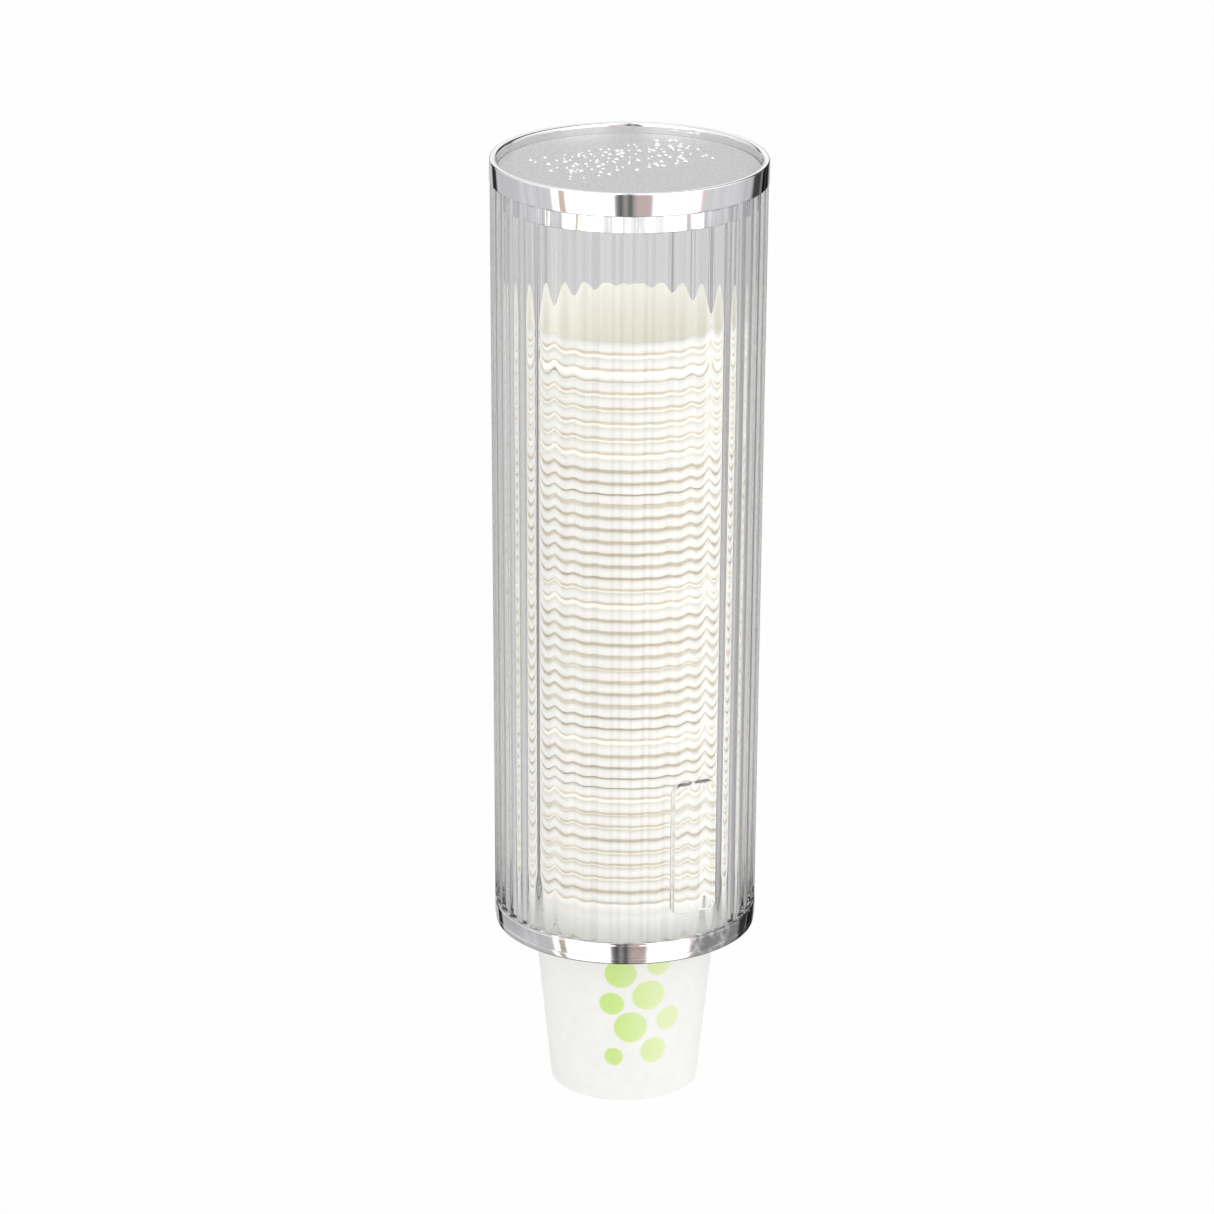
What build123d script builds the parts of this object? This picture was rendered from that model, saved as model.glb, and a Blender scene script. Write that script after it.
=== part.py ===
"""Pull-type cup dispenser.

A clear fluted tube hangs from a flat pad moulded near its foot. A lid plugs its head, and a
ring under its foot traps a slit gasket, which grips the lowest of a column of nested paper cups.
Heights are measured up from the underside of the base ring, and radii from the tube's axis.
"""
import os
from math import cos, radians, sin, sqrt

from build123d import *

os.makedirs("parts", exist_ok=True)

# Paper cup
cup_height = 81.0
cup_rim_radius = 36.5
cup_rim_height = 3.3
cup_rim_roll = 3.4
cup_draft = 8.1
cup_wall = 0.3
cup_floor_recess = 3.4
cup_sides = 28
rim_bevel_share = 1 / 3
groove_share = 0.47

# Column of cups, unevenly settled: each step up is its share of the usual one, from the foot
cup_step = 4.6
step_shares = (
    0.924, 1.08, 1.03, 1.04, 0.90, 1.06, 0.99, 1.19, 0.74, 0.77, 0.86, 0.92, 1.25, 0.82, 0.85, 0.96, 0.90, 0.93,
    0.99, 0.95, 0.90, 0.94, 0.89, 1.29, 1.07, 0.85, 0.93, 0.90, 0.92, 0.92, 0.89, 0.96, 0.76, 0.88, 0.92, 1.29,
    1.10, 1.17, 1.08, 1.13, 1.72, 1.20,
)
first_rim_top = 22.5

# Tube
tube_clearance = 4.9
tube_widening = 1.4
tube_head_height = 260.3
tube_wall = 2.2
flute_depth = 0.8
flute_count = 40
flute_turn = -0.9
crest_share = 0.4
spigot_wall = 1.2
spigot_gap = 0.1

# Base ring
ring_height = 7.7
ring_flange = 1.8
ring_lip_height = 2.2
ring_lip_step = 0.3
ring_lip_chamfer = 0.5
mouth_gap = 2.0

# Gasket
gasket_thickness = 1.2
gasket_grip_gap = 0.3
gasket_edge_gap = 0.15
flap_count = 16
flap_slit_width = 0.6

# Lid
lid_overhang = 0.2
lid_band_height = 7.7
lid_lip_width = 2.4
lid_recess_depth = 3.4
lid_floor = 1.5
lid_edge_chamfer = 0.5
plug_depth = 6.4
plug_wall = 1.5
plug_gap = 0.25

# Satin disc let into the lid
disc_thickness = 1.6
disc_gap = 0.15

# Hanger pad, which holds the lid's edge just off the wall
wall_clearance = 1.0
pad_width = 16.0
pad_height = 46.0
pad_corner_radius = 2.5
pad_edge_chamfer = 0.6
pad_middle_height = 41.0

# One overrun serves every cut
overrun = 5.0
full_turn = 360.0

# The tube and its lid clear the cups' rims, and the wall clears the lid
tube_foot_radius = cup_rim_radius + tube_clearance + tube_wall + flute_depth
tube_head_radius = tube_foot_radius + tube_widening
lid_radius = tube_head_radius + lid_overhang
wall_gap = lid_radius + wall_clearance

# The pad's outer face is the origin, so the tube's foot lies below it and in front of it
foot_z = -pad_middle_height
section = Plane(origin=(0, -wall_gap, foot_z), x_dir=(1, 0, 0), z_dir=(0, -1, 0))
tube_axis = Axis((0, -wall_gap, 0), (0, 0, 1))

cup_neck_radius = cup_rim_radius - cup_rim_roll
cup_foot_radius = cup_neck_radius - cup_draft
cup_neck_height = cup_height - cup_rim_height
cup_slope = cup_draft / cup_neck_height
first_cup_foot = first_rim_top - cup_height

gasket_foot = ring_flange
gasket_head = ring_flange + gasket_thickness
spigot_foot = gasket_head


def level(height):
    """The plane at a height above the base ring's underside."""
    return Plane(origin=(0, -wall_gap, foot_z + height))


def polar_point(radius, degrees):
    """A point of a level plane at a radius and an angle."""
    return (radius * cos(radians(degrees)), radius * sin(radians(degrees)))


def crest_radius(height):
    """The drafted tube's radius over its crests."""
    rise = (height - ring_height) / (tube_head_height - ring_height)
    return tube_foot_radius + rise * (tube_head_radius - tube_foot_radius)


def bore_radius(height):
    """The tube's inner radius, which follows its draft."""
    return crest_radius(height) - flute_depth - tube_wall


def cup_radius(height):
    """A cup's outer radius at a height above its own foot."""
    return cup_foot_radius + cup_slope * height


# Sizes that seat the tube in its base ring
spigot_radius = bore_radius(spigot_foot) + spigot_wall
socket_radius = spigot_radius + spigot_gap
mouth_radius = cup_rim_radius + mouth_gap
gasket_radius = socket_radius - gasket_edge_gap
grip_radius = cup_radius(gasket_head - first_cup_foot) + gasket_grip_gap

# Sizes that seat the lid on the tube
lid_top = tube_head_height + lid_band_height
disc_top = lid_top - lid_recess_depth
disc_foot = disc_top - disc_thickness
recess_radius = lid_radius - lid_lip_width
plug_foot = tube_head_height - plug_depth
plug_radius = bore_radius(plug_foot) - plug_gap


def flutes(radius):
    """The tube's outline on a level plane: crests on the radius, with shallow valleys between."""
    pitch = full_turn / flute_count
    crest_half = pitch * crest_share / 2
    for number in range(flute_count):
        middle = number * pitch + flute_turn
        crest_end = middle + crest_half
        next_crest = middle + pitch - crest_half
        valley = middle + pitch / 2
        ThreePointArc(
            polar_point(radius, middle - crest_half),
            polar_point(radius, middle),
            polar_point(radius, crest_end),
        )
        ThreePointArc(
            polar_point(radius, crest_end),
            polar_point(radius - flute_depth, valley),
            polar_point(radius, next_crest),
        )


def cup_section(radius, height):
    """A level section of paper, drawn with enough flat sides to pass for a circle."""
    with BuildSketch(level(height)) as outline:
        RegularPolygon(radius, cup_sides)
    return outline.sketch


def tapered(lower_radius, lower_height, upper_radius, upper_height, mode=Mode.ADD):
    """A tapered block of paper, or of the air within it, between two heights."""
    corners = cup_section(lower_radius, lower_height).vertices()
    corners += cup_section(upper_radius, upper_height).vertices()
    ConvexPolyhedron([tuple(corner) for corner in corners], mode=mode)


def hollow_cup(foot, head):
    """Opens the cup at the head of a column, and the hollow under the floor of the one at its foot."""
    floor_over = cup_floor_recess + cup_wall
    brim = cup_height + overrun
    tapered(
        cup_radius(floor_over) - cup_wall, head + floor_over, cup_radius(brim) - cup_wall, head + brim,
        mode=Mode.SUBTRACT,
    )
    tapered(
        cup_radius(-overrun) - cup_wall, foot - overrun,
        cup_radius(cup_floor_recess) - cup_wall, foot + cup_floor_recess,
        mode=Mode.SUBTRACT,
    )


def paper_cup(foot):
    """One cup that stands at a height: tapered wall, rolled rim and a floor set up in its foot."""
    neck = foot + cup_neck_height
    top = foot + cup_height
    bevel = cup_rim_height * rim_bevel_share
    tapered(cup_foot_radius, foot, cup_neck_radius, neck)
    tapered(cup_neck_radius, neck, cup_rim_radius, neck + bevel)
    tapered(cup_rim_radius, neck + bevel, cup_rim_radius, top - bevel)
    tapered(cup_rim_radius, top - bevel, cup_radius(cup_height) + cup_wall, top)
    hollow_cup(foot, foot)


# Tube: fluted outside, plain drafted bore, and a spigot that enters the base ring
with BuildPart() as tube:
    with BuildSketch(level(ring_height)):
        with BuildLine():
            flutes(tube_foot_radius)
        make_face()
    with BuildSketch(level(tube_head_height)):
        with BuildLine():
            flutes(tube_head_radius)
        make_face()
    loft(ruled=True)
    with BuildSketch(level(spigot_foot)):
        Circle(spigot_radius)
    extrude(amount=ring_height - spigot_foot)
    with BuildSketch(section):
        with BuildLine():
            bore_side = Bezier(
                (bore_radius(spigot_foot - overrun), spigot_foot - overrun),
                (bore_radius(tube_head_height + overrun), tube_head_height + overrun),
            )
            Polyline(
                bore_side @ 1,
                (0, tube_head_height + overrun),
                (0, spigot_foot - overrun),
                bore_side @ 0,
            )
        make_face()
    revolve(axis=tube_axis, mode=Mode.SUBTRACT)
tube.part.label = "tube"
export_step(tube.part, "parts/tube.step")

# Base ring: bright band with a stepped lip, a socket for the tube and an inward flange
with BuildPart() as base_ring:
    with BuildSketch(section):
        with BuildLine():
            Polyline(
                (mouth_radius, 0),
                (tube_foot_radius - ring_lip_step, 0),
                (tube_foot_radius - ring_lip_step, ring_lip_height),
                (tube_foot_radius, ring_lip_height),
                (tube_foot_radius, ring_height),
                (socket_radius, ring_height),
                (socket_radius, ring_flange),
                (mouth_radius, ring_flange),
                close=True,
            )
        make_face()
    revolve(axis=tube_axis)
    lip_edge = base_ring.edges().group_by(Axis.Z)[0].sort_by(SortBy.RADIUS)[-1]
    chamfer(lip_edge, length=ring_lip_chamfer)
base_ring.part.label = "base_ring"
export_step(base_ring.part, "parts/base_ring.step")

# Gasket: a soft disc slit into flaps, trapped between the tube's spigot and the ring's flange
with BuildPart() as gasket:
    with BuildSketch(level(gasket_foot)):
        Circle(gasket_radius)
        Circle(grip_radius, mode=Mode.SUBTRACT)
        with PolarLocations(grip_radius, flap_count):
            Rectangle(2 * (mouth_radius - grip_radius), flap_slit_width, mode=Mode.SUBTRACT)
    extrude(amount=gasket_thickness)
gasket.part.label = "gasket"
export_step(gasket.part, "parts/gasket.step")

# Lid cap: bright band and lip around a recess, with a plug that enters the tube's bore
with BuildPart() as lid_cap:
    with BuildSketch(section):
        with BuildLine():
            Polyline(
                (0, disc_foot - lid_floor),
                (plug_radius - plug_wall, disc_foot - lid_floor),
                (plug_radius - plug_wall, plug_foot),
                (plug_radius, plug_foot),
                (plug_radius, tube_head_height),
                (lid_radius, tube_head_height),
                (lid_radius, lid_top),
                (recess_radius, lid_top),
                (recess_radius, disc_foot),
                (0, disc_foot),
                close=True,
            )
        make_face()
    revolve(axis=tube_axis)
    lid_edge = lid_cap.edges().group_by(Axis.Z)[-1].sort_by(SortBy.RADIUS)[-1]
    chamfer(lid_edge, length=lid_edge_chamfer)
lid_cap.part.label = "lid_cap"
export_step(lid_cap.part, "parts/lid_cap.step")

# Satin disc that drops into the lid's recess
with BuildPart() as lid_disc:
    with BuildSketch(level(disc_foot)):
        Circle(recess_radius - disc_gap)
    extrude(amount=disc_thickness)
lid_disc.part.label = "lid_disc"
export_step(lid_disc.part, "parts/lid_disc.step")

# Hanger pad: a flat outer face on a block whose back follows the tube's crests
with BuildPart() as hanger_pad:
    with BuildSketch(Plane(origin=(0, 0, 0), x_dir=(1, 0, 0), z_dir=(0, -1, 0))):
        RectangleRounded(pad_width, pad_height, pad_corner_radius)
    extrude(amount=wall_gap - sqrt(bore_radius(ring_height) ** 2 - (pad_width / 2) ** 2))
    chamfer(hanger_pad.edges().group_by(Axis.Y)[-1], length=pad_edge_chamfer)
    with BuildSketch(section):
        with BuildLine():
            Polyline(
                (0, ring_height),
                (tube_foot_radius, ring_height),
                (tube_head_radius, tube_head_height),
                (0, tube_head_height),
                close=True,
            )
        make_face()
    revolve(axis=tube_axis, mode=Mode.SUBTRACT)
hanger_pad.part.label = "hanger_pad"
export_step(hanger_pad.part, "parts/hanger_pad.step")

# Lowest cup, held by the gasket and pulled out through the mouth
with BuildPart() as bottom_cup:
    paper_cup(first_cup_foot)
bottom_cup.part.label = "bottom_cup"
export_step(bottom_cup.part, "parts/bottom_cup.step")

# Feet of the nested cups between the lowest and the top one, then the top one's own
feet = [first_cup_foot + cup_step * sum(step_shares[:number]) for number in range(1, len(step_shares) + 1)]
nested_feet = feet[:-1]
top_cup_foot = feet[-1]

# Nested cups, joined into one column whose edge swells at every rim, with a shallow groove between two
with BuildPart() as cup_stack:
    groove_radius = cup_rim_radius - cup_rim_roll * groove_share
    first_neck = nested_feet[0] + cup_neck_height
    last_top = nested_feet[-1] + cup_height
    rims = [cup_section(cup_neck_radius, first_neck)]
    for lower, upper in zip(nested_feet, nested_feet[1:]):
        rim_top = lower + cup_height
        next_neck = upper + cup_neck_height
        rims.append(cup_section(cup_rim_radius, rim_top - cup_rim_height / 2))
        rims.append(cup_section(groove_radius, (rim_top + next_neck) / 2))
    rims.append(cup_section(cup_rim_radius, last_top - cup_rim_height / 2))
    rims.append(cup_section(cup_radius(cup_height) + cup_wall, last_top))
    tapered(cup_foot_radius, nested_feet[0], cup_neck_radius, first_neck)
    loft(rims, ruled=True)
    hollow_cup(nested_feet[0], nested_feet[-1])
cup_stack.part.label = "cup_stack"
export_step(cup_stack.part, "parts/cup_stack.step")

# Top cup, whose open mouth shows through the tube
with BuildPart() as top_cup:
    paper_cup(top_cup_foot)
top_cup.part.label = "top_cup"
export_step(top_cup.part, "parts/top_cup.step")
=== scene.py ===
import math
import random

import bmesh
import bpy
from mathutils import Matrix, Vector


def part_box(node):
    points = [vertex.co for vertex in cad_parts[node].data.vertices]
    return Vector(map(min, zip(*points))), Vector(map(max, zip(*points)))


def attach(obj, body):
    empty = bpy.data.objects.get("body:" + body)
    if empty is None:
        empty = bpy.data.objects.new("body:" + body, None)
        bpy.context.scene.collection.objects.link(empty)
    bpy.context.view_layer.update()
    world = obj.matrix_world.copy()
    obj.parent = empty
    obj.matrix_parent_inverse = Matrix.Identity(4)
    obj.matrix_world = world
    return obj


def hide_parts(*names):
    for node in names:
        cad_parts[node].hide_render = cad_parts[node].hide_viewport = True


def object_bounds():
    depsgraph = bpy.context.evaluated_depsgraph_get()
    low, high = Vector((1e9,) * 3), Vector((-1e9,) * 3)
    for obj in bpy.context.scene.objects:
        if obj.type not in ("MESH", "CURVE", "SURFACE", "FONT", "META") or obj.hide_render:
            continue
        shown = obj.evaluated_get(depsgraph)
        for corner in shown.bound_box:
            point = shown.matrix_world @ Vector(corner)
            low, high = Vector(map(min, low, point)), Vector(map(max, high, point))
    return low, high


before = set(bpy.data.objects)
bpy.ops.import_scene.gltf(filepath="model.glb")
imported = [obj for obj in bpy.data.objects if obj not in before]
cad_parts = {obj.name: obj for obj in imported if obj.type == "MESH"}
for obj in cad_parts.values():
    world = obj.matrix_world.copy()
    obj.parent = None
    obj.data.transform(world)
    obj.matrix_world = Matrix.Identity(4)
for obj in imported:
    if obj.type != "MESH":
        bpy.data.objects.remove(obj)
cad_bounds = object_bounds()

MM = 0.001
FULL_TURN = 2 * math.pi

# Places read from the frame: the tube's axis, and the base ring's underside, which heights count from
ring_low, ring_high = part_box("base_ring")
tube_low, tube_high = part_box("tube")
lid_low, lid_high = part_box("lid_cap")
disc_low, disc_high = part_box("lid_disc")
cup_low, cup_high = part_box("bottom_cup")
pad_low, pad_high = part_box("hanger_pad")
axis_y = (ring_low.y + ring_high.y) / 2
foot_z = ring_low.z
axis_place = Vector((0, axis_y, foot_z))

# The photograph is taken from the wall's side, so the pad faces it a little to the right
FRONT_DEGREES = 150.0
PHOTO_SIDE = 1214
CAMERA_DISTANCE = 1760.4 * MM
CAMERA_HEIGHT = 737.3 * MM
CAMERA_PITCH = 0.34142
CAMERA_YAW = -0.00377
CAMERA_ROLL = 0.005
CAMERA_FOCAL_PX = 5555.1
CAMERA_REACH = 50.0
SENSOR_WIDTH = 36.0

# Paper cups
CUP_HEIGHT = cup_high.z - cup_low.z
CUP_RIM_RADIUS = (cup_high.x - cup_low.x) / 2
CUP_RIM_HEIGHT = 3.3 * MM
CUP_NECK_RADIUS = 33.1 * MM
CUP_FOOT_RADIUS = 25.0 * MM
CUP_WALL = 0.3 * MM
CUP_FOOT_EDGE = 0.15 * MM
CUP_FLOOR_RECESS = 3.4 * MM
CUP_FLOOR_FOLD = 0.35 * MM
CUP_LINING_FOLD = 0.4 * MM
NECK_HEIGHT = 7.0 * MM
NECK_FLARE = 1.6 * MM
NECK_FLARE_HEIGHT = 5.5 * MM
CUP_SLOPE = (CUP_NECK_RADIUS - CUP_FOOT_RADIUS) / (CUP_HEIGHT - CUP_RIM_HEIGHT)
CUP_STEP = 4.6 * MM
STEP_SHARES = (
    0.924, 1.08, 1.03, 1.04, 0.90, 1.06, 0.99, 1.19, 0.74, 0.77, 0.86, 0.92, 1.25, 0.82, 0.85,
    0.96, 0.90, 0.93, 0.99, 0.95, 0.90, 0.94, 0.89, 1.29, 1.07, 0.85, 0.93, 0.90, 0.92, 0.92,
    0.89, 0.96, 0.76, 0.88, 0.92, 1.29, 1.10, 1.17, 1.08, 1.13, 1.72, 1.20,
)
CUP_SEGMENTS = 96

# The rolled rim, from its tucked cut edge round to the lining, by the angle round the roll
ROLL_DEGREES = (-96, -84, -72, -50, -28, -10, 8, 28, 50, 72, 95, 120, 150)
# The roll's underside up to this angle, and the top of the neck's flare, are tan: the paper's raw edge
# together with painted shadow in the crevice under the roll
CREVICE_SHADE_END = -60
ROLL_END = 95
NECK_CREVICE_SHADE_SHARE = 0.3

# The stretches of a cup's section, in the order of the cups' materials
BOARD, CUT_EDGE_AND_CREVICE_SHADE, LINING, NECK, ROLL = range(5)

# The print on the cups: scattered dots as (height above the foot, offset round the cup, radius)
PRINT_TURN = 10.5
PRINT_RADIUS = 28.5 * MM
PRINT_DOTS = (
    (49.0 * MM, -6.5 * MM, 5.2 * MM), (52.0 * MM, 6.0 * MM, 4.0 * MM),
    (40.5 * MM, 3.0 * MM, 5.6 * MM), (37.5 * MM, -9.5 * MM, 4.2 * MM),
    (28.5 * MM, -3.0 * MM, 5.8 * MM), (30.5 * MM, 10.5 * MM, 4.4 * MM),
    (19.0 * MM, 5.5 * MM, 4.8 * MM), (17.0 * MM, -9.0 * MM, 3.4 * MM),
)
PRINT_BLUR = 0.35 * MM
PRINT_FADE = 24.0 * MM
INK_DEEP = (0.64, 0.86, 0.28)
INK_LIGHT = (0.84, 0.93, 0.55)

# The cups' side seam: the half widths of its full line and of its faded edge
SEAM_CORE = 0.10 * MM
SEAM_HALF = 0.30 * MM
SEAM_TONE = (0.74, 0.71, 0.64)

# Tube
RING_HEIGHT = ring_high.z - ring_low.z
TUBE_FOOT_RADIUS = (ring_high.x - ring_low.x) / 2
TUBE_HEAD_RADIUS = (tube_high.x - tube_low.x) / 2
TUBE_HEAD_HEIGHT = tube_high.z - foot_z
TUBE_EDGE = 0.25 * MM
SPIGOT_FOOT = tube_low.z - foot_z
FLUTE_COUNT = 40
FLUTE_STEPS = 14
FLUTE_TURN = math.radians(-0.9)
FLUTE_DEPTH = 0.8 * MM
FLUTE_SHOWN = 0.72 * MM
TUBE_WALL = 2.2 * MM
SPIGOT_WALL = 1.2 * MM

# Bands and lid
BAND_SEGMENTS = 192
DISC_SEGMENTS = 128

# A painted dark reflection, coarsely mottled, lies on one side of the base ring's plating, from this far
# off the axis
DARK_REFLECTION_START = 0.48 * TUBE_FOOT_RADIUS
DARK_REFLECTION_END = 0.52 * TUBE_FOOT_RADIUS
DARK_REFLECTION_TONE = (0.32, 0.32, 0.32)

# What polished and clear pieces show of the studio, by the angle from the photograph's viewpoint
PANEL_LEVEL = 1.7
WHITE = (PANEL_LEVEL, PANEL_LEVEL, PANEL_LEVEL)
WALL_GREY = (0.70, 0.70, 0.71)
SIDE_GREY = (0.60, 0.60, 0.61)
BACK_GREY = (0.60, 0.60, 0.605)
TAN_POST = (0.66, 0.56, 0.44)
ROSE_POST = (0.95, 0.72, 0.70)
DARK_POST = (0.03, 0.03, 0.032)
STUDIO_STOPS = (
    (-154, BACK_GREY), (-151.5, DARK_POST), (-141.5, DARK_POST), (-139, SIDE_GREY),
    (-110, SIDE_GREY), (-95, WALL_GREY), (-67, WALL_GREY),
    (-65, WHITE), (-60.5, WHITE), (-59.5, TAN_POST), (-54, TAN_POST), (-53, WHITE),
    (60, WHITE), (61, ROSE_POST), (63, ROSE_POST), (65, WALL_GREY),
    (95, WALL_GREY), (110, SIDE_GREY), (139, SIDE_GREY),
    (141, DARK_POST), (147, DARK_POST), (148, SIDE_GREY),
    (150.5, SIDE_GREY), (151.5, DARK_POST), (155, DARK_POST),
    (157, WALL_GREY), (166, WALL_GREY), (170, BACK_GREY),
)

# What share of it plated pieces show: things by the camera in front, and a dark curtain on the right
OPEN = (1.0, 1.0, 1.0)
FRONT_DARK = (0.06, 0.06, 0.06)
FRONT_MIXED = (0.22, 0.21, 0.20)
FRONT_ROSE = (0.36, 0.29, 0.28)
CURTAIN = (0.10, 0.10, 0.10)
CURTAIN_THIN = (0.45, 0.45, 0.45)
SCREEN_STOPS = (
    (-180, OPEN), (-13, OPEN), (-11, FRONT_MIXED), (-7, FRONT_DARK), (-3, FRONT_MIXED),
    (1, FRONT_DARK), (4, FRONT_MIXED), (7, FRONT_ROSE), (18, FRONT_ROSE), (20.5, OPEN),
    (119, OPEN), (124, CURTAIN), (134, CURTAIN), (139, CURTAIN_THIN),
    (144, CURTAIN), (160, CURTAIN), (168, OPEN),
)

# How bright the studio stands at heights from straight down to straight up, in degrees above level
HEIGHT_STOPS = ((-90, 0.12), (-55, 0.12), (-40, 1.0), (6, 1.0), (15, 1.7), (90, 1.7))

# Streaks of light and dark round the studio, and how much of them shows on plating
STREAK_SCALE = 60.0
STREAK_SPREAD = 0.42
STREAK_ON_PLATING = 0.35

# What rays through the tube's wall see, and what the plain light makes up for there
GLASS_SHARE = 0.5
PANEL_THROUGH_GLASS = 0.72
WALL_SURFACES = 3.5
WALL_LOSS = 0.19
WALL_LOSS_SIDES = 0.35
SIDE_LIGHT = 0.15

# The floor
FLOOR_SIZE = 40.0
FLOOR_DROP = 1.20
FLOOR_GLOW = 0.8


def away(degrees):
    """The level direction that faces a camera at this azimuth, counted as the views count it."""
    angle = math.radians(degrees)
    return Vector((math.sin(angle), -math.cos(angle), 0))


def make_camera():
    """The photograph's viewpoint, from the fit to its ellipses and edges."""
    toward = away(FRONT_DEGREES)
    ahead = -toward
    right = ahead.cross(Vector((0, 0, 1)))
    pitch_cos, pitch_sin = math.cos(CAMERA_PITCH), math.sin(CAMERA_PITCH)
    forward = (
        math.sin(CAMERA_YAW) * pitch_cos * right
        + math.cos(CAMERA_YAW) * pitch_cos * ahead
        + Vector((0, 0, -pitch_sin))
    )
    side = math.cos(CAMERA_YAW) * right - math.sin(CAMERA_YAW) * ahead
    up = side.cross(forward)
    roll_cos, roll_sin = math.cos(CAMERA_ROLL), math.sin(CAMERA_ROLL)
    side, up = roll_cos * side + roll_sin * up, roll_cos * up - roll_sin * side
    camera = bpy.data.objects.new("camera", bpy.data.cameras.new("camera"))
    camera.data.sensor_width = SENSOR_WIDTH
    camera.data.lens = CAMERA_FOCAL_PX / PHOTO_SIDE * SENSOR_WIDTH
    camera.data.clip_end = CAMERA_REACH
    turn = Matrix((side, up, -forward)).transposed().to_4x4()
    place = axis_place + toward * CAMERA_DISTANCE + Vector((0, 0, CAMERA_HEIGHT))
    camera.matrix_world = Matrix.Translation(place) @ turn
    bpy.context.scene.collection.objects.link(camera)
    bpy.context.scene.camera = camera


# Node helpers

def new_material(name):
    """A node material with its tree and its Principled shader."""
    material = bpy.data.materials.new(name)
    material.use_nodes = True
    tree = material.node_tree
    return material, tree, tree.nodes["Principled BSDF"]


def noise(tree, scale, detail=3.0, stretch=(1, 1, 1)):
    """Noise over the object's own coordinates, stretched along an axis where asked."""
    coordinates = tree.nodes.new("ShaderNodeTexCoord")
    mapping = tree.nodes.new("ShaderNodeMapping")
    mapping.inputs["Scale"].default_value = stretch
    texture = tree.nodes.new("ShaderNodeTexNoise")
    texture.inputs["Scale"].default_value = scale
    texture.inputs["Detail"].default_value = detail
    tree.links.new(coordinates.outputs["Object"], mapping.inputs["Vector"])
    tree.links.new(mapping.outputs["Vector"], texture.inputs["Vector"])
    return texture.outputs["Fac"]


def turned_axes(tree, coordinates, degrees):
    """The X, Y and Z of some coordinates, turned so that X points where away(degrees) does."""
    source = tree.nodes.new("ShaderNodeTexCoord")
    mapping = tree.nodes.new("ShaderNodeMapping")
    mapping.inputs["Rotation"].default_value = (0, 0, -math.radians(degrees - 90))
    split = tree.nodes.new("ShaderNodeSeparateXYZ")
    tree.links.new(source.outputs[coordinates], mapping.inputs["Vector"])
    tree.links.new(mapping.outputs["Vector"], split.inputs["Vector"])
    return split.outputs


def ramp(tree, source, low, high, start=0.3, end=0.7):
    """A colour between two, chosen by a value."""
    node = tree.nodes.new("ShaderNodeValToRGB")
    node.color_ramp.elements[0].position = start
    node.color_ramp.elements[1].position = end
    node.color_ramp.elements[0].color = (*low, 1)
    node.color_ramp.elements[1].color = (*high, 1)
    tree.links.new(source, node.inputs["Fac"])
    return node.outputs["Color"]


def stops_node(tree, source, stops, reach):
    """A colour read off stops, as (degrees, colour), by a value that is 0 at -reach and 1 at reach."""
    node = tree.nodes.new("ShaderNodeValToRGB")
    elements = node.color_ramp.elements
    while len(elements) < len(stops):
        elements.new(0.5)
    for element, (degrees, colour) in zip(elements, stops):
        element.position = (degrees + reach) / (2 * reach)
        element.color = (*colour, 1)
    tree.links.new(source, node.inputs["Fac"])
    return node.outputs["Color"]


def map_range(tree, source, start, end, low=0.0, high=1.0, interpolation="LINEAR"):
    """A value that goes from low to high as the source goes from start to end."""
    node = tree.nodes.new("ShaderNodeMapRange")
    node.interpolation_type = interpolation
    for name, value in (("From Min", start), ("From Max", end), ("To Min", low), ("To Max", high)):
        node.inputs[name].default_value = value
    tree.links.new(source, node.inputs["Value"])
    return node.outputs["Result"]


def between(tree, source, low, high):
    """A number between two, chosen by a value from 0 to 1."""
    return map_range(tree, source, 0.0, 1.0, low, high)


def math_node(tree, operation, first, second=None):
    """A Math node over one or two values or links."""
    node = tree.nodes.new("ShaderNodeMath")
    node.operation = operation
    for socket, value in zip(node.inputs, (first, second)):
        if value is None:
            continue
        if isinstance(value, (int, float)):
            socket.default_value = value
        else:
            tree.links.new(value, socket)
    return node.outputs["Value"]


def plus(tree, first, second):
    """The sum of two values or links."""
    return math_node(tree, "ADD", first, second)


def minus(tree, first, second):
    """The difference of two values or links."""
    return math_node(tree, "SUBTRACT", first, second)


def times(tree, first, second):
    """The product of two values or links."""
    return math_node(tree, "MULTIPLY", first, second)


def any_of(tree, count):
    """1 where a count is one or more, and 0 where it is none."""
    return math_node(tree, "MINIMUM", count, 1.0)


def vector_node(tree, operation, first, second):
    """A Vector Math node over two links."""
    node = tree.nodes.new("ShaderNodeVectorMath")
    node.operation = operation
    tree.links.new(first, node.inputs[0])
    tree.links.new(second, node.inputs[1])
    return node.outputs["Vector"]


def mixed(tree, share, first, second):
    """A colour that goes from the first to the second as a value goes from 0 to 1."""
    node = tree.nodes.new("ShaderNodeMix")
    node.data_type = "RGBA"
    sockets = {socket.identifier: socket for socket in (*node.inputs, *node.outputs)}
    tree.links.new(share, sockets["Factor_Float"])
    for name, value in (("A_Color", first), ("B_Color", second)):
        if isinstance(value, tuple):
            sockets[name].default_value = (*value, 1)
        else:
            tree.links.new(value, sockets[name])
    return sockets["Result_Color"]


def lay_over(tree, share, colour):
    """Lays a colour over the one that the material's shader has, by a share."""
    base = tree.nodes["Principled BSDF"].inputs["Base Color"]
    tree.links.new(mixed(tree, share, base.links[0].from_socket, colour), base)


def bump(tree, shader, source, strength, distance):
    """A bump of the surface's normal."""
    node = tree.nodes.new("ShaderNodeBump")
    node.inputs["Strength"].default_value = strength
    node.inputs["Distance"].default_value = distance
    tree.links.new(source, node.inputs["Height"])
    tree.links.new(node.outputs["Normal"], shader.inputs["Normal"])


# Materials

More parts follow.
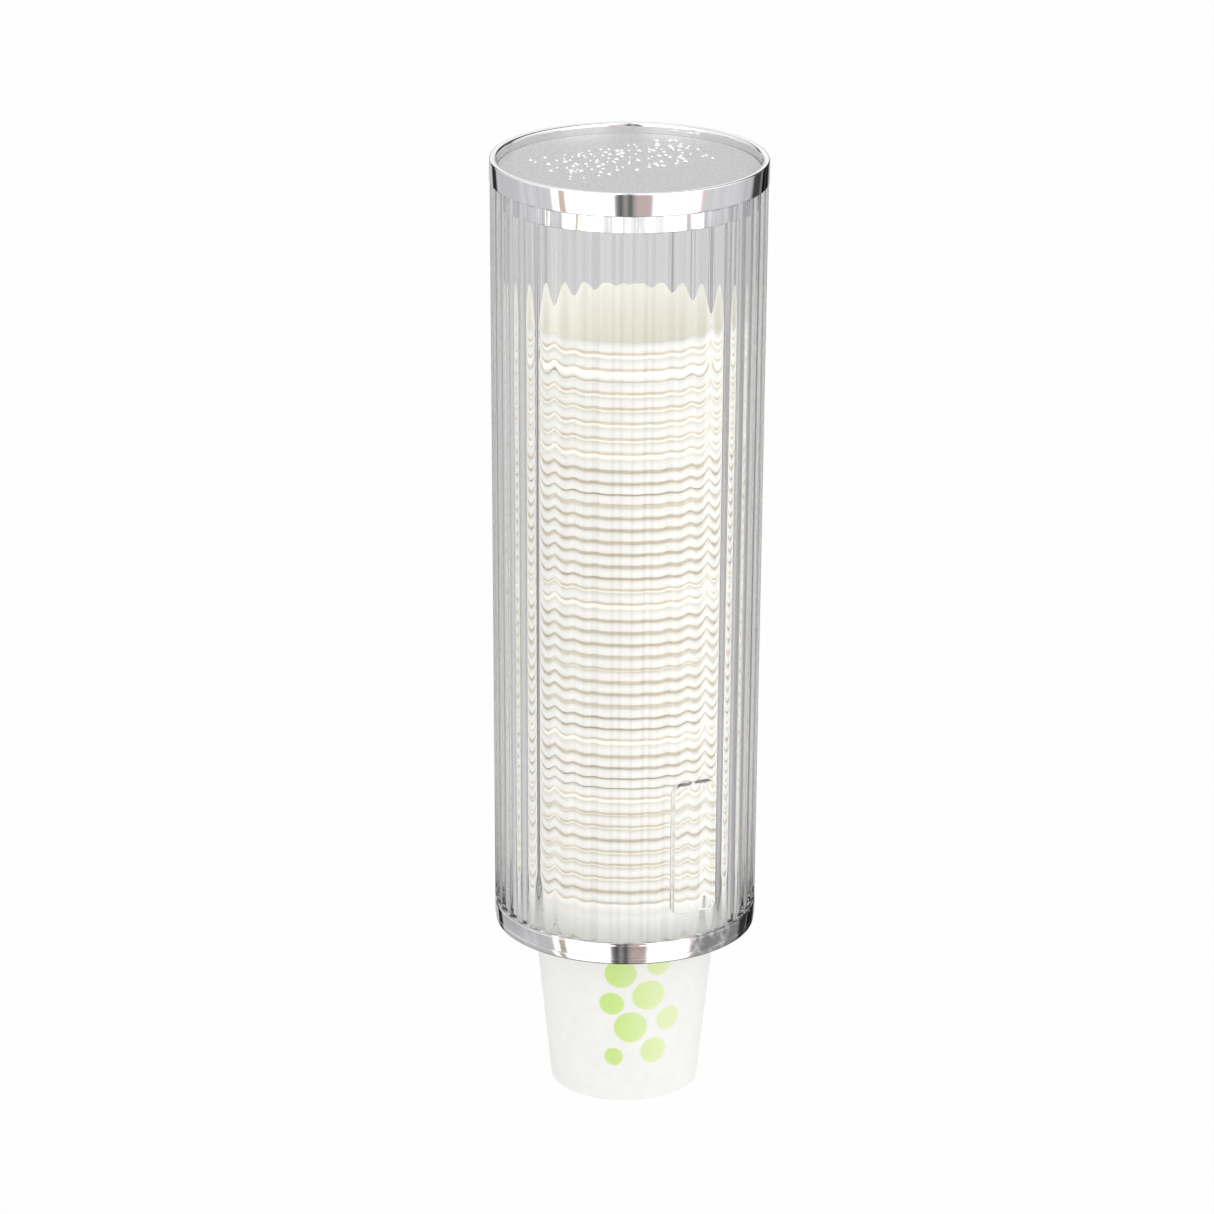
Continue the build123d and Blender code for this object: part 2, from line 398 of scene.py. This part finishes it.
def clear_plastic(name, low, high, roughness, ior):
    """Clear moulded plastic with faint flow streaks along its length."""
    material, tree, shader = new_material(name)
    streaks = noise(tree, 160.0, stretch=(1, 1, 0.03))
    tree.links.new(ramp(tree, streaks, low, high), shader.inputs["Base Color"])
    haze = noise(tree, 60.0)
    tree.links.new(between(tree, haze, roughness, roughness * 2.5), shader.inputs["Roughness"])
    shader.inputs["Transmission Weight"].default_value = 1.0
    shader.inputs["IOR"].default_value = ior
    return material


def plated(name, low, high, stretch):
    """Bright plating over a moulding, with a slight waviness and a trace of handling haze."""
    material, tree, shader = new_material(name)
    haze = noise(tree, 45.0, 5.0, stretch)
    tree.links.new(ramp(tree, haze, low, high), shader.inputs["Base Color"])
    tree.links.new(between(tree, haze, 0.03, 0.09), shader.inputs["Roughness"])
    shader.inputs["Metallic"].default_value = 1.0
    bump(tree, shader, noise(tree, 22.0, 1.0), 0.08, 0.0006)
    return material


def paint_dark_reflection_side(material, side):
    """Paints a dark reflection, coarsely mottled, onto the plating on the side that a level direction
    points to.
    """
    tree = material.node_tree
    coordinates = tree.nodes.new("ShaderNodeTexCoord")
    reach = tree.nodes.new("ShaderNodeVectorMath")
    reach.operation = "DOT_PRODUCT"
    reach.inputs[1].default_value = side
    tree.links.new(coordinates.outputs["Object"], reach.inputs[0])
    inside = map_range(tree, reach.outputs["Value"], DARK_REFLECTION_START, DARK_REFLECTION_END)
    spots = map_range(tree, noise(tree, 330.0, 8.0, (1, 1, 0.8)), 0.30, 0.55)
    # The mottled dark tone laid over here is a painted dark reflection
    lay_over(tree, times(tree, inside, spots), DARK_REFLECTION_TONE)


def satin():
    """Fine-grained satin silver."""
    material, tree, shader = new_material("satin_silver")
    grain = noise(tree, 900.0, 6.0)
    silver = ramp(tree, grain, (0.50, 0.50, 0.50), (0.66, 0.66, 0.66))
    tree.links.new(silver, shader.inputs["Base Color"])
    tree.links.new(between(tree, grain, 0.50, 0.68), shader.inputs["Roughness"])
    shader.inputs["Metallic"].default_value = 0.2
    bump(tree, shader, grain, 0.25, 0.0002)
    return material


def pip_painted_highlight():
    """The polished tops of the disc's raised pips, whose highlight is painted in as a near-white base
    colour.
    """
    material, tree, shader = new_material("polished_pips_painted_highlight")
    grain = noise(tree, 400.0)
    # Near-white: a painted highlight, standing in for the polished metal's reflection
    polish = ramp(tree, grain, (0.90, 0.90, 0.90), (0.97, 0.97, 0.97))
    tree.links.new(polish, shader.inputs["Base Color"])
    tree.links.new(between(tree, grain, 0.12, 0.25), shader.inputs["Roughness"])
    shader.inputs["Metallic"].default_value = 0.3
    return material


def paper(name, low, high, roughness_low, roughness_high):
    """Paper board with mottled formation and a fine fibre bump."""
    material, tree, shader = new_material(name)
    formation = noise(tree, 220.0, 6.0)
    tree.links.new(ramp(tree, formation, low, high), shader.inputs["Base Color"])
    tree.links.new(between(tree, formation, roughness_low, roughness_high), shader.inputs["Roughness"])
    bump(tree, shader, noise(tree, 1400.0, 4.0), 0.15, 0.0001)
    return material


def side_seam(material):
    """Draws the cut edge of the cup's side seam, a fine line down the wall opposite the print."""
    tree = material.node_tree
    axes = turned_axes(tree, "Object", FRONT_DEGREES + PRINT_TURN)
    line = map_range(tree, math_node(tree, "ABSOLUTE", axes["Y"]), SEAM_HALF, SEAM_CORE)
    behind = math_node(tree, "LESS_THAN", axes["X"], 0.0)
    lay_over(tree, times(tree, line, behind), SEAM_TONE)


def cup_print(material):
    """Adds a print to the cup board: scattered round dots in lime green, paler to the right."""
    tree = material.node_tree
    axes = turned_axes(tree, "Object", FRONT_DEGREES + PRINT_TURN)
    arc = times(tree, math_node(tree, "ARCTAN2", axes["Y"], axes["X"]), PRINT_RADIUS)
    printed = None
    for height, offset, radius in PRINT_DOTS:
        level = minus(tree, axes["Z"], height)
        side = minus(tree, arc, offset)
        square = plus(tree, times(tree, level, level), times(tree, side, side))
        reach = math_node(tree, "SQRT", square)
        dot = map_range(
            tree, reach, radius + PRINT_BLUR, radius - PRINT_BLUR, interpolation="SMOOTHSTEP")
        printed = dot if printed is None else math_node(tree, "MAXIMUM", printed, dot)
    fade = plus(tree, math_node(tree, "DIVIDE", arc, PRINT_FADE), 0.5)
    lay_over(tree, printed, ramp(tree, fade, INK_DEEP, INK_LIGHT, 0.1, 0.9))


def silicone():
    """Soft translucent silicone."""
    material, tree, shader = new_material("soft_silicone")
    cloud = noise(tree, 120.0)
    milk = ramp(tree, cloud, (0.70, 0.70, 0.68), (0.80, 0.80, 0.78))
    tree.links.new(milk, shader.inputs["Base Color"])
    tree.links.new(between(tree, cloud, 0.4, 0.55), shader.inputs["Roughness"])
    shader.inputs["Transmission Weight"].default_value = 0.35
    return material


tube_plastic = clear_plastic(
    "clear_tube_plastic", (0.965, 0.97, 0.972), (0.995, 0.997, 0.998), roughness=0.004, ior=1.5)
pad_plastic = clear_plastic(
    "clear_pad_plastic", (0.965, 0.97, 0.972), (0.99, 0.992, 0.993), roughness=0.01, ior=1.28)
bright_plating = plated("bright_plating", (0.80, 0.80, 0.81), (0.90, 0.90, 0.91), (1, 1, 1))
# The base ring's plating: a darker tone than the lid's, with a painted dark reflection on one side
ring_plating_painted_dark_reflection = plated("ring_plating_painted_dark_reflection", (0.60, 0.60, 0.605), (0.80, 0.80, 0.805), (1, 1, 5))
paint_dark_reflection_side(ring_plating_painted_dark_reflection, away(FRONT_DEGREES + 90))
satin_silver = satin()
polished_pips_painted_highlight = pip_painted_highlight()
cup_board = paper("cup_board", (0.93, 0.925, 0.895), (0.965, 0.96, 0.935), 0.5, 0.65)
# The roll's paper is the board's, made darker as painted shade
cup_roll_painted_shade = paper("cup_roll_painted_shade", (0.785, 0.78, 0.735), (0.83, 0.82, 0.785), 0.5, 0.65)
# The neck's paper is the board's, made lighter as painted light against the shade of the recess under the
# roll
cup_neck_painted_light = paper("cup_neck_painted_light", (0.955, 0.94, 0.89), (0.975, 0.96, 0.915), 0.5, 0.65)
cup_lining = paper("cup_lining", (0.95, 0.93, 0.845), (0.97, 0.955, 0.885), 0.3, 0.42)
# Tan for the raw edge and for the painted shadow in the crevice under the roll
raw_edge_and_crevice_shadow = paper("raw_paper_edge_and_crevice_shadow", (0.61, 0.53, 0.41), (0.75, 0.67, 0.55), 0.7, 0.8)
side_seam(cup_board)
side_seam(cup_neck_painted_light)
cup_print(cup_board)
soft_silicone = silicone()


# Mesh helpers

def add_object(name, mesh, materials):
    """Links a mesh as an object with its materials."""
    piece = bpy.data.objects.new(name, mesh)
    for material in materials:
        mesh.materials.append(material)
    bpy.context.scene.collection.objects.link(piece)
    return piece


def mark_sharp(mesh, degrees=35.0):
    """Smooth faces, with the edges sharper than an angle kept crisp."""
    work = bmesh.new()
    work.from_mesh(mesh)
    bmesh.ops.recalc_face_normals(work, faces=work.faces)
    limit = math.radians(degrees)
    for edge in work.edges:
        edge.smooth = len(edge.link_faces) != 2 or edge.calc_face_angle(0) < limit
    for face in work.faces:
        face.smooth = True
    work.to_mesh(mesh)
    work.free()


def ring_faces(rings, segments, closed=True):
    """The faces between rings of points, each joined to the next, and the last to the first if closed."""
    faces = []
    for ring in range(rings if closed else rings - 1):
        upper = (ring + 1) % rings
        for step in range(segments):
            following = (step + 1) % segments
            faces.append((
                ring * segments + step, ring * segments + following,
                upper * segments + following, upper * segments + step,
            ))
    return faces


def rounded(points, radii, steps=4):
    """A section whose corners are rounded, each by its own radius, as (radius, height) points."""
    out = []
    count = len(points)
    for number, (corner, radius) in enumerate(zip(points, radii)):
        corner = Vector(corner)
        if radius <= 0:
            out.append(corner)
            continue
        before = Vector(points[number - 1]) - corner
        after = Vector(points[(number + 1) % count]) - corner
        turn = before.angle(after)
        reach = min(radius / math.tan(turn / 2), before.length * 0.49, after.length * 0.49)
        start, end = corner + before.normalized() * reach, corner + after.normalized() * reach
        for step in range(steps + 1):
            share = step / steps
            out.append((1 - share) ** 2 * start + 2 * share * (1 - share) * corner + share ** 2 * end)
    return out


def lathe(name, section, segments, materials, closed=True, kinds=None):
    """Turns a section about the tube's axis. kinds gives each ring of faces its material's number."""
    vertices = []
    for radius, height in section:
        for step in range(segments):
            angle = FULL_TURN * step / segments
            vertices.append((radius * math.cos(angle), radius * math.sin(angle), height))
    mesh = bpy.data.meshes.new(name)
    mesh.from_pydata(vertices, [], ring_faces(len(section), segments, closed))
    if kinds:
        for number, face in enumerate(mesh.polygons):
            face.material_index = kinds[number // segments]
    work = bmesh.new()
    work.from_mesh(mesh)
    bmesh.ops.remove_doubles(work, verts=work.verts, dist=1e-7)
    work.to_mesh(mesh)
    work.free()
    mark_sharp(mesh)
    piece = add_object(name, mesh, materials)
    piece.location = axis_place
    return piece


# Tube

def crest_radius(height):
    """The drafted tube's radius over its crests."""
    rise = (height - RING_HEIGHT) / (TUBE_HEAD_HEIGHT - RING_HEIGHT)
    return TUBE_FOOT_RADIUS + rise * (TUBE_HEAD_RADIUS - TUBE_FOOT_RADIUS)


def bore_radius(height):
    """The tube's inner radius."""
    return crest_radius(height) - FLUTE_DEPTH - TUBE_WALL


def fluted_radius(height, angle):
    """The tube's outer radius, which dips under its crests in even waves round the tube."""
    dip = FLUTE_SHOWN * (1 - math.cos((angle - FLUTE_TURN) * FLUTE_COUNT)) / 2
    return crest_radius(height) - dip


def make_tube():
    """The clear tube: fluted outside, with a smooth bore and a plain spigot."""
    around = FLUTE_COUNT * FLUTE_STEPS
    spigot_radius = bore_radius(SPIGOT_FOOT) + SPIGOT_WALL
    rows = (
        (SPIGOT_FOOT, lambda angle: bore_radius(SPIGOT_FOOT)),
        (SPIGOT_FOOT, lambda angle: spigot_radius),
        (RING_HEIGHT, lambda angle: spigot_radius),
        (RING_HEIGHT, lambda angle: fluted_radius(RING_HEIGHT, angle) - TUBE_EDGE),
        (RING_HEIGHT + TUBE_EDGE, lambda angle: fluted_radius(RING_HEIGHT, angle)),
        (TUBE_HEAD_HEIGHT - TUBE_EDGE, lambda angle: fluted_radius(TUBE_HEAD_HEIGHT, angle)),
        (TUBE_HEAD_HEIGHT, lambda angle: fluted_radius(TUBE_HEAD_HEIGHT, angle) - TUBE_EDGE),
        (TUBE_HEAD_HEIGHT, lambda angle: bore_radius(TUBE_HEAD_HEIGHT)),
    )
    vertices = []
    for height, radius_at in rows:
        for step in range(around):
            angle = FULL_TURN * step / around
            radius = radius_at(angle)
            x, y = radius * math.cos(angle), axis_y + radius * math.sin(angle)
            vertices.append((x, y, foot_z + height))
    mesh = bpy.data.meshes.new("clear_tube")
    mesh.from_pydata(vertices, [], ring_faces(len(rows), around))
    mark_sharp(mesh, 40.0)
    tube = add_object("clear_tube", mesh, [tube_plastic])
    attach(tube, "housing")
    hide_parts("tube")


# Bands and lid

def make_base_band():
    """The base ring: bright band, stepped lip, socket and inward flange."""
    lip_step, lip_height = 0.3 * MM, 2.2 * MM
    groove, bead_drop = 0.3 * MM, 0.6 * MM
    socket_gap, mouth_gap, flange = 0.1 * MM, 2.0 * MM, 1.8 * MM
    outer = TUBE_FOOT_RADIUS
    lip = outer - lip_step
    bead = RING_HEIGHT - bead_drop
    socket = bore_radius(SPIGOT_FOOT) + SPIGOT_WALL + socket_gap
    mouth = CUP_RIM_RADIUS + mouth_gap
    points = [
        (mouth, 0), (lip, 0), (lip, lip_height - groove), (lip - groove, lip_height),
        (outer, lip_height + groove), (outer, bead - groove), (outer - groove, bead),
        (outer, bead + groove), (outer, RING_HEIGHT), (socket, RING_HEIGHT), (socket, flange),
        (mouth, flange),
    ]
    radii = [value * MM for value in (0.3, 0.6, 0.1, 0.1, 0.15, 0.05, 0.1, 0.05, 0.2, 0.15, 0, 0.3)]
    band = lathe("base_band", rounded(points, radii), BAND_SEGMENTS, [ring_plating_painted_dark_reflection])
    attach(band, "housing")
    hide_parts("base_ring")


def make_lid():
    """The lid's bright band, with its rounded lip, recess and plug."""
    floor, lip_width = 1.5 * MM, 2.4 * MM
    plug_gap, plug_wall = 0.25 * MM, 1.5 * MM
    outer = (lid_high.x - lid_low.x) / 2
    recess = outer - lip_width
    top = lid_high.z - foot_z
    disc_foot = disc_low.z - foot_z
    ceiling = disc_foot - floor
    plug_foot = lid_low.z - foot_z
    plug = bore_radius(plug_foot) - plug_gap
    plug_inner = plug - plug_wall
    points = [
        (0, ceiling), (plug_inner, ceiling), (plug_inner, plug_foot), (plug, plug_foot),
        (plug, TUBE_HEAD_HEIGHT), (outer, TUBE_HEAD_HEIGHT), (outer, top), (recess, top),
        (recess, disc_foot), (0, disc_foot),
    ]
    radii = [value * MM for value in (0, 0.4, 0.3, 0.5, 0, 0.3, 0.7, 1.15, 0, 0)]
    cap = lathe("lid_band", rounded(points, radii), BAND_SEGMENTS, [bright_plating], closed=False)
    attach(cap, "lid")
    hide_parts("lid_cap")


def make_disc():
    """The satin disc in the lid's recess."""
    radius = (disc_high.x - disc_low.x) / 2
    foot, top = disc_low.z - foot_z, disc_high.z - foot_z
    points = [(0, foot), (radius, foot), (radius, top), (0, top)]
    section = rounded(points, [0, 0.2 * MM, 0.35 * MM, 0])
    disc = lathe("satin_disc", section, DISC_SEGMENTS, [satin_silver], closed=False)
    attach(disc, "lid")
    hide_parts("lid_disc")


def make_pips():
    """Small raised pips strewn over a slanted block of the disc, from a staggered grid."""
    random.seed(7)
    columns, rows, left_out = 19, 9, 0.24
    length, width, slant = 56.0 * MM, 30.0 * MM, 32.0
    jitter, pip_height = 1.1 * MM, 0.55 * MM
    sizes = (0.4, 0.5, 0.6, 0.8, 1.0)
    shift_left, shift_back = 2.4 * MM, 9.6 * MM
    right, back = away(FRONT_DEGREES + 90), away(FRONT_DEGREES + 180)
    along, across = away(FRONT_DEGREES + 90 + slant), away(FRONT_DEGREES + 180 + slant)
    centre = right * -shift_left + back * shift_back
    work = bmesh.new()
    for row in range(rows):
        for column in range(columns):
            if random.random() < left_out:
                continue
            stagger = 0.25 + 0.5 * (row % 2)
            u = ((column + stagger) / columns - 0.5) * length + random.uniform(-jitter, jitter)
            v = ((row + 0.5) / rows - 0.5) * width + random.uniform(-jitter, jitter)
            middle = centre + along * u + across * v
            size = random.choice(sizes) * MM
            place = Matrix.Translation((middle.x, axis_y + middle.y, disc_high.z))
            shape = Matrix.Diagonal((size * random.uniform(1.0, 1.3), size, pip_height, 1))
            spin = Matrix.Rotation(random.uniform(0, math.pi), 4, "Z")
            bmesh.ops.create_icosphere(work, subdivisions=2, radius=1.0, matrix=place @ spin @ shape)
    for face in work.faces:
        face.smooth = True
    mesh = bpy.data.meshes.new("disc_pips")
    work.to_mesh(mesh)
    work.free()
    pips = add_object("disc_pips", mesh, [polished_pips_painted_highlight])
    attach(pips, "lid")


# Hanger pad

def make_pad():
    """The clear pad: a rounded block with a flat outer face, its back on the tube's crests."""
    corner, edge, steps = 2.5 * MM, 0.6 * MM, 6
    seat_gap = 0.02 * MM
    half_width = (pad_high.x - pad_low.x) / 2
    half_height = (pad_high.z - pad_low.z) / 2
    middle_z = (pad_high.z + pad_low.z) / 2
    outline = []
    for x_side, z_side, start in ((1, 1, 0), (-1, 1, 90), (-1, -1, 180), (1, -1, 270)):
        for step in range(steps + 1):
            angle = math.radians(start + 90 * step / steps)
            outline.append((
                x_side * (half_width - corner) + corner * math.cos(angle),
                z_side * (half_height - corner) + corner * math.sin(angle),
            ))
    # The outer edge is a quarter round, from the flat face inward
    vertices = []
    for share in (1.0, 0.7, 0.3, 0.0):
        inset = edge * (1 - math.sqrt(1 - share ** 2))
        y = pad_high.y - edge * (1 - share)
        for x, z in outline:
            vertices.append((x * (1 - inset / half_width), y, middle_z + z * (1 - inset / half_height)))
    for x, z in outline:
        seat = crest_radius(middle_z + z - foot_z)
        vertices.append((x, axis_y + math.sqrt(seat ** 2 - x ** 2) + seat_gap, middle_z + z))
    # The back is strips between mirrored points, so that it follows the tube
    count = len(outline)
    rings = len(vertices) // count
    faces = [tuple(range(count))] + ring_faces(rings, count, closed=False)
    back = (rings - 1) * count
    for step in range(count // 2 - 1):
        mirrored = count - 1 - step
        faces.append((back + step, back + step + 1, back + mirrored - 1, back + mirrored))
    mesh = bpy.data.meshes.new("clear_pad")
    mesh.from_pydata(vertices, [], faces)
    mark_sharp(mesh, 30.0)
    pad = add_object("clear_pad", mesh, [pad_plastic])
    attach(pad, "housing")
    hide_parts("hanger_pad")


# Cups

def cup_radius(height):
    """A cup's outer radius at a height above its foot."""
    return CUP_FOOT_RADIUS + CUP_SLOPE * height


def cup_section():
    """One cup's section from under its floor, up the outside, over the rolled rim and down the lining.

    Beside the points it gives the kind of each stretch: board, cut edge with painted crevice shadow,
    lining, neck with painted light, or roll with painted shade."""
    points, kinds = [], []

    def add(radius, height, kind):
        points.append((radius, height))
        kinds.append(kind)

    neck = CUP_HEIGHT - CUP_RIM_HEIGHT
    floor_radius = cup_radius(CUP_FLOOR_RECESS) - CUP_WALL
    add(0, CUP_FLOOR_RECESS, BOARD)
    add(floor_radius - CUP_FLOOR_FOLD, CUP_FLOOR_RECESS, BOARD)
    add(floor_radius, CUP_FLOOR_RECESS - CUP_FLOOR_FOLD, BOARD)
    add(CUP_FOOT_RADIUS - CUP_WALL, CUP_FOOT_EDGE, BOARD)
    add(CUP_FOOT_RADIUS - CUP_WALL / 2, 0, BOARD)
    add(CUP_FOOT_RADIUS, CUP_FOOT_EDGE, BOARD)
    for share in (0.25, 0.5, 0.75):
        add(cup_radius(neck * share), neck * share, BOARD)
    add(cup_radius(neck - NECK_HEIGHT), neck - NECK_HEIGHT, NECK)
    # The flare's top, in the crevice under the roll, takes the tan of the painted crevice shadow
    for share in (1.0, 0.7, 0.4, 0.18):
        height = neck - NECK_FLARE_HEIGHT * share
        flare = NECK_FLARE * (1 - share ** 3)
        add(cup_radius(height) + flare, height, CUT_EDGE_AND_CREVICE_SHADE if share < NECK_CREVICE_SHADE_SHARE else NECK)

    roll_radius = (CUP_RIM_RADIUS + cup_radius(CUP_HEIGHT) - CUP_WALL) / 2
    half_width = CUP_RIM_RADIUS - roll_radius
    half_height = CUP_RIM_HEIGHT / 2
    for degrees in ROLL_DEGREES:
        angle = math.radians(degrees)
        kind = CUT_EDGE_AND_CREVICE_SHADE if degrees < CREVICE_SHADE_END else ROLL if degrees < ROLL_END else LINING
        height = CUP_HEIGHT - half_height + half_height * math.sin(angle)
        add(roll_radius + half_width * math.cos(angle), height, kind)

    for share in (0.96, 0.7, 0.4, 0.15):
        height = CUP_HEIGHT * share
        add(cup_radius(height) - CUP_WALL, height, LINING)
    floor_top = CUP_FLOOR_RECESS + CUP_WALL
    lining_foot = cup_radius(floor_top) - CUP_WALL
    add(lining_foot, floor_top + CUP_LINING_FOLD, LINING)
    add(lining_foot - CUP_LINING_FOLD, floor_top, LINING)
    add(0, floor_top, LINING)
    return points, kinds


def make_cups():
    """All the cups, from the one that hangs out to the one on top, as thin shells that share a mesh.

    All but the first stand at random quarter turns."""
    random.seed(11)
    section, kinds = cup_section()
    materials = [cup_board, raw_edge_and_crevice_shadow, cup_lining, cup_neck_painted_light, cup_roll_painted_shade]
    last = len(STEP_SHARES)
    foot = cup_low.z - foot_z
    for number in range(last + 1):
        name = f"paper_cup_{number + 1:02d}"
        if number == 0:
            cup = lathe(name, section, CUP_SEGMENTS, materials, closed=False, kinds=kinds)
            shell = cup.data
        else:
            cup = bpy.data.objects.new(name, shell)
            bpy.context.scene.collection.objects.link(cup)
            cup.rotation_euler = (0, 0, random.randrange(4) * FULL_TURN / 4)
        cup.location = axis_place + Vector((0, 0, foot))
        body, node, slot = "column", "cup_stack", "stacked_paper"
        if number == 0:
            body, node, slot = "pulled_cup", "bottom_cup", "cup_paper"
        elif number == last:
            body, node, slot = "column", "top_cup", "cup_paper"
        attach(cup, body)
        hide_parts(node)
        if number < last:
            foot += CUP_STEP * STEP_SHARES[number]


# Studio

def make_floor():
    """A wide pale floor well under the dispenser."""
    place = (0, axis_y, cad_bounds[0].z - FLOOR_DROP)
    bpy.ops.mesh.primitive_plane_add(size=FLOOR_SIZE, location=place)
    floor = bpy.context.object
    floor.name = "floor"
    material, tree, shader = new_material("pale_floor")
    pale = ramp(tree, noise(tree, 4.0), (0.93, 0.93, 0.93), (0.95, 0.95, 0.95))
    tree.links.new(pale, shader.inputs["Base Color"])
    shader.inputs["Roughness"].default_value = 0.9
    glow = tree.nodes.new("ShaderNodeEmission")
    glow.inputs["Color"].default_value = (1, 1, 1, 1)
    light_path = tree.nodes.new("ShaderNodeLightPath")
    mix = tree.nodes.new("ShaderNodeMixShader")
    tree.links.new(times(tree, light_path.outputs["Is Camera Ray"], FLOOR_GLOW), mix.inputs["Fac"])
    tree.links.new(shader.outputs["BSDF"], mix.inputs[1])
    tree.links.new(glow.outputs["Emission"], mix.inputs[2])
    tree.links.new(mix.outputs["Shader"], tree.nodes["Material Output"].inputs["Surface"])
    floor.data.materials.append(material)
    floor.visible_glossy = False
    floor.visible_transmission = False


def plain_level(tree, axes, through, lighting):
    """How strong the plain white light is.

    It makes up for what the tube's wall takes from the light on the cups, and is a little stronger
    from the right of the photograph."""
    sides = times(tree, times(tree, axes["Y"], axes["Y"]), WALL_LOSS_SIDES)
    boost = times(tree, times(tree, through, lighting), plus(tree, sides, WALL_LOSS))
    right = times(tree, times(tree, axes["Y"], lighting), SIDE_LIGHT)
    return times(tree, plus(tree, boost, 1.0), plus(tree, right, 1.0))


def studio_level(tree, axes, turn, through):
    """How bright the studio is: by height, with upright streaks that are fainter on plating."""
    rise = math_node(tree, "DIVIDE", math_node(tree, "ARCSINE", axes["Z"]), math.pi)
    height_stops = [(degrees, (level, level, level)) for degrees, level in HEIGHT_STOPS]
    heights = stops_node(tree, plus(tree, rise, 0.5), height_stops, 90)
    streaks = tree.nodes.new("ShaderNodeTexNoise")
    streaks.noise_dimensions = "1D"
    streaks.inputs["Scale"].default_value = STREAK_SCALE
    streaks.inputs["Detail"].default_value = 3.0
    tree.links.new(turn, streaks.inputs["W"])
    spread = between(tree, streaks.outputs["Fac"], -STREAK_SPREAD, STREAK_SPREAD)
    spread = times(tree, spread, between(tree, through, STREAK_ON_PLATING, 1.0))
    return times(tree, heights, plus(tree, spread, 1.0))


def studio_colour(tree, path, turn, through):
    """The studio's walls, panels and posts, with the screens in front of them.

    The screens are faint to rays that have passed the tube's wall. The white panels are dimmed
    there, so that the tube shows from all sides, but not where the lid's plug mirrors them, which a
    ray meets after it has passed both faces of the wall twice."""
    walls = stops_node(tree, turn, STUDIO_STOPS, 180)
    screens = stops_node(tree, turn, SCREEN_STOPS, 180)
    screens = mixed(tree, times(tree, through, GLASS_SHARE), screens, OPEN)
    passed_twice = math_node(tree, "GREATER_THAN", path["Transmission Depth"], WALL_SURFACES)
    on_plug = times(tree, any_of(tree, path["Glossy Depth"]), passed_twice)
    plainly = times(tree, through, minus(tree, 1.0, on_plug))
    limit = minus(tree, PANEL_LEVEL, times(tree, plainly, PANEL_LEVEL - PANEL_THROUGH_GLASS))
    return vector_node(tree, "MINIMUM", vector_node(tree, "MULTIPLY", walls, screens), limit)


def make_world():
    """Plain white light and background, and a studio that only plating and clear plastic show."""
    world = bpy.data.worlds.new("studio")
    bpy.context.scene.world = world
    world.use_nodes = True
    tree = world.node_tree
    tree.nodes.clear()
    axes = turned_axes(tree, "Generated", FRONT_DEGREES)
    azimuth = math_node(tree, "ARCTAN2", axes["Y"], axes["X"])
    turn = plus(tree, math_node(tree, "DIVIDE", azimuth, FULL_TURN), 0.5)
    path = tree.nodes.new("ShaderNodeLightPath").outputs
    through = any_of(tree, path["Transmission Depth"])
    lighting = any_of(tree, path["Diffuse Depth"])
    mirrored = math_node(tree, "MAXIMUM", path["Is Glossy Ray"], path["Is Transmission Ray"])

    plain = tree.nodes.new("ShaderNodeBackground")
    plain.inputs["Color"].default_value = (1, 1, 1, 1)
    tree.links.new(plain_level(tree, axes, through, lighting), plain.inputs["Strength"])
    studio = tree.nodes.new("ShaderNodeBackground")
    tree.links.new(studio_colour(tree, path, turn, through), studio.inputs["Color"])
    tree.links.new(studio_level(tree, axes, turn, through), studio.inputs["Strength"])
    mix = tree.nodes.new("ShaderNodeMixShader")
    tree.links.new(times(tree, mirrored, minus(tree, 1.0, lighting)), mix.inputs["Fac"])
    tree.links.new(plain.outputs["Background"], mix.inputs[1])
    tree.links.new(studio.outputs["Background"], mix.inputs[2])
    output = tree.nodes.new("ShaderNodeOutputWorld")
    tree.links.new(mix.outputs["Shader"], output.inputs["Surface"])


make_camera()
make_tube()
make_base_band()
make_lid()
make_disc()
make_pips()
make_pad()
make_cups()
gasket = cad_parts["gasket"]
gasket.data.materials.clear()
gasket.data.materials.append(soft_silicone)
make_floor()
make_world()
bpy.context.scene.view_settings.view_transform = "Standard"
# Enough bounces for the nested walls of the tube and the cups, with sharp reflections
bpy.context.scene.cycles.max_bounces = 24
bpy.context.scene.cycles.glossy_bounces = 16
bpy.context.scene.cycles.transmission_bounces = 20
bpy.context.scene.cycles.diffuse_bounces = 6
bpy.context.scene.cycles.blur_glossy = 0.0
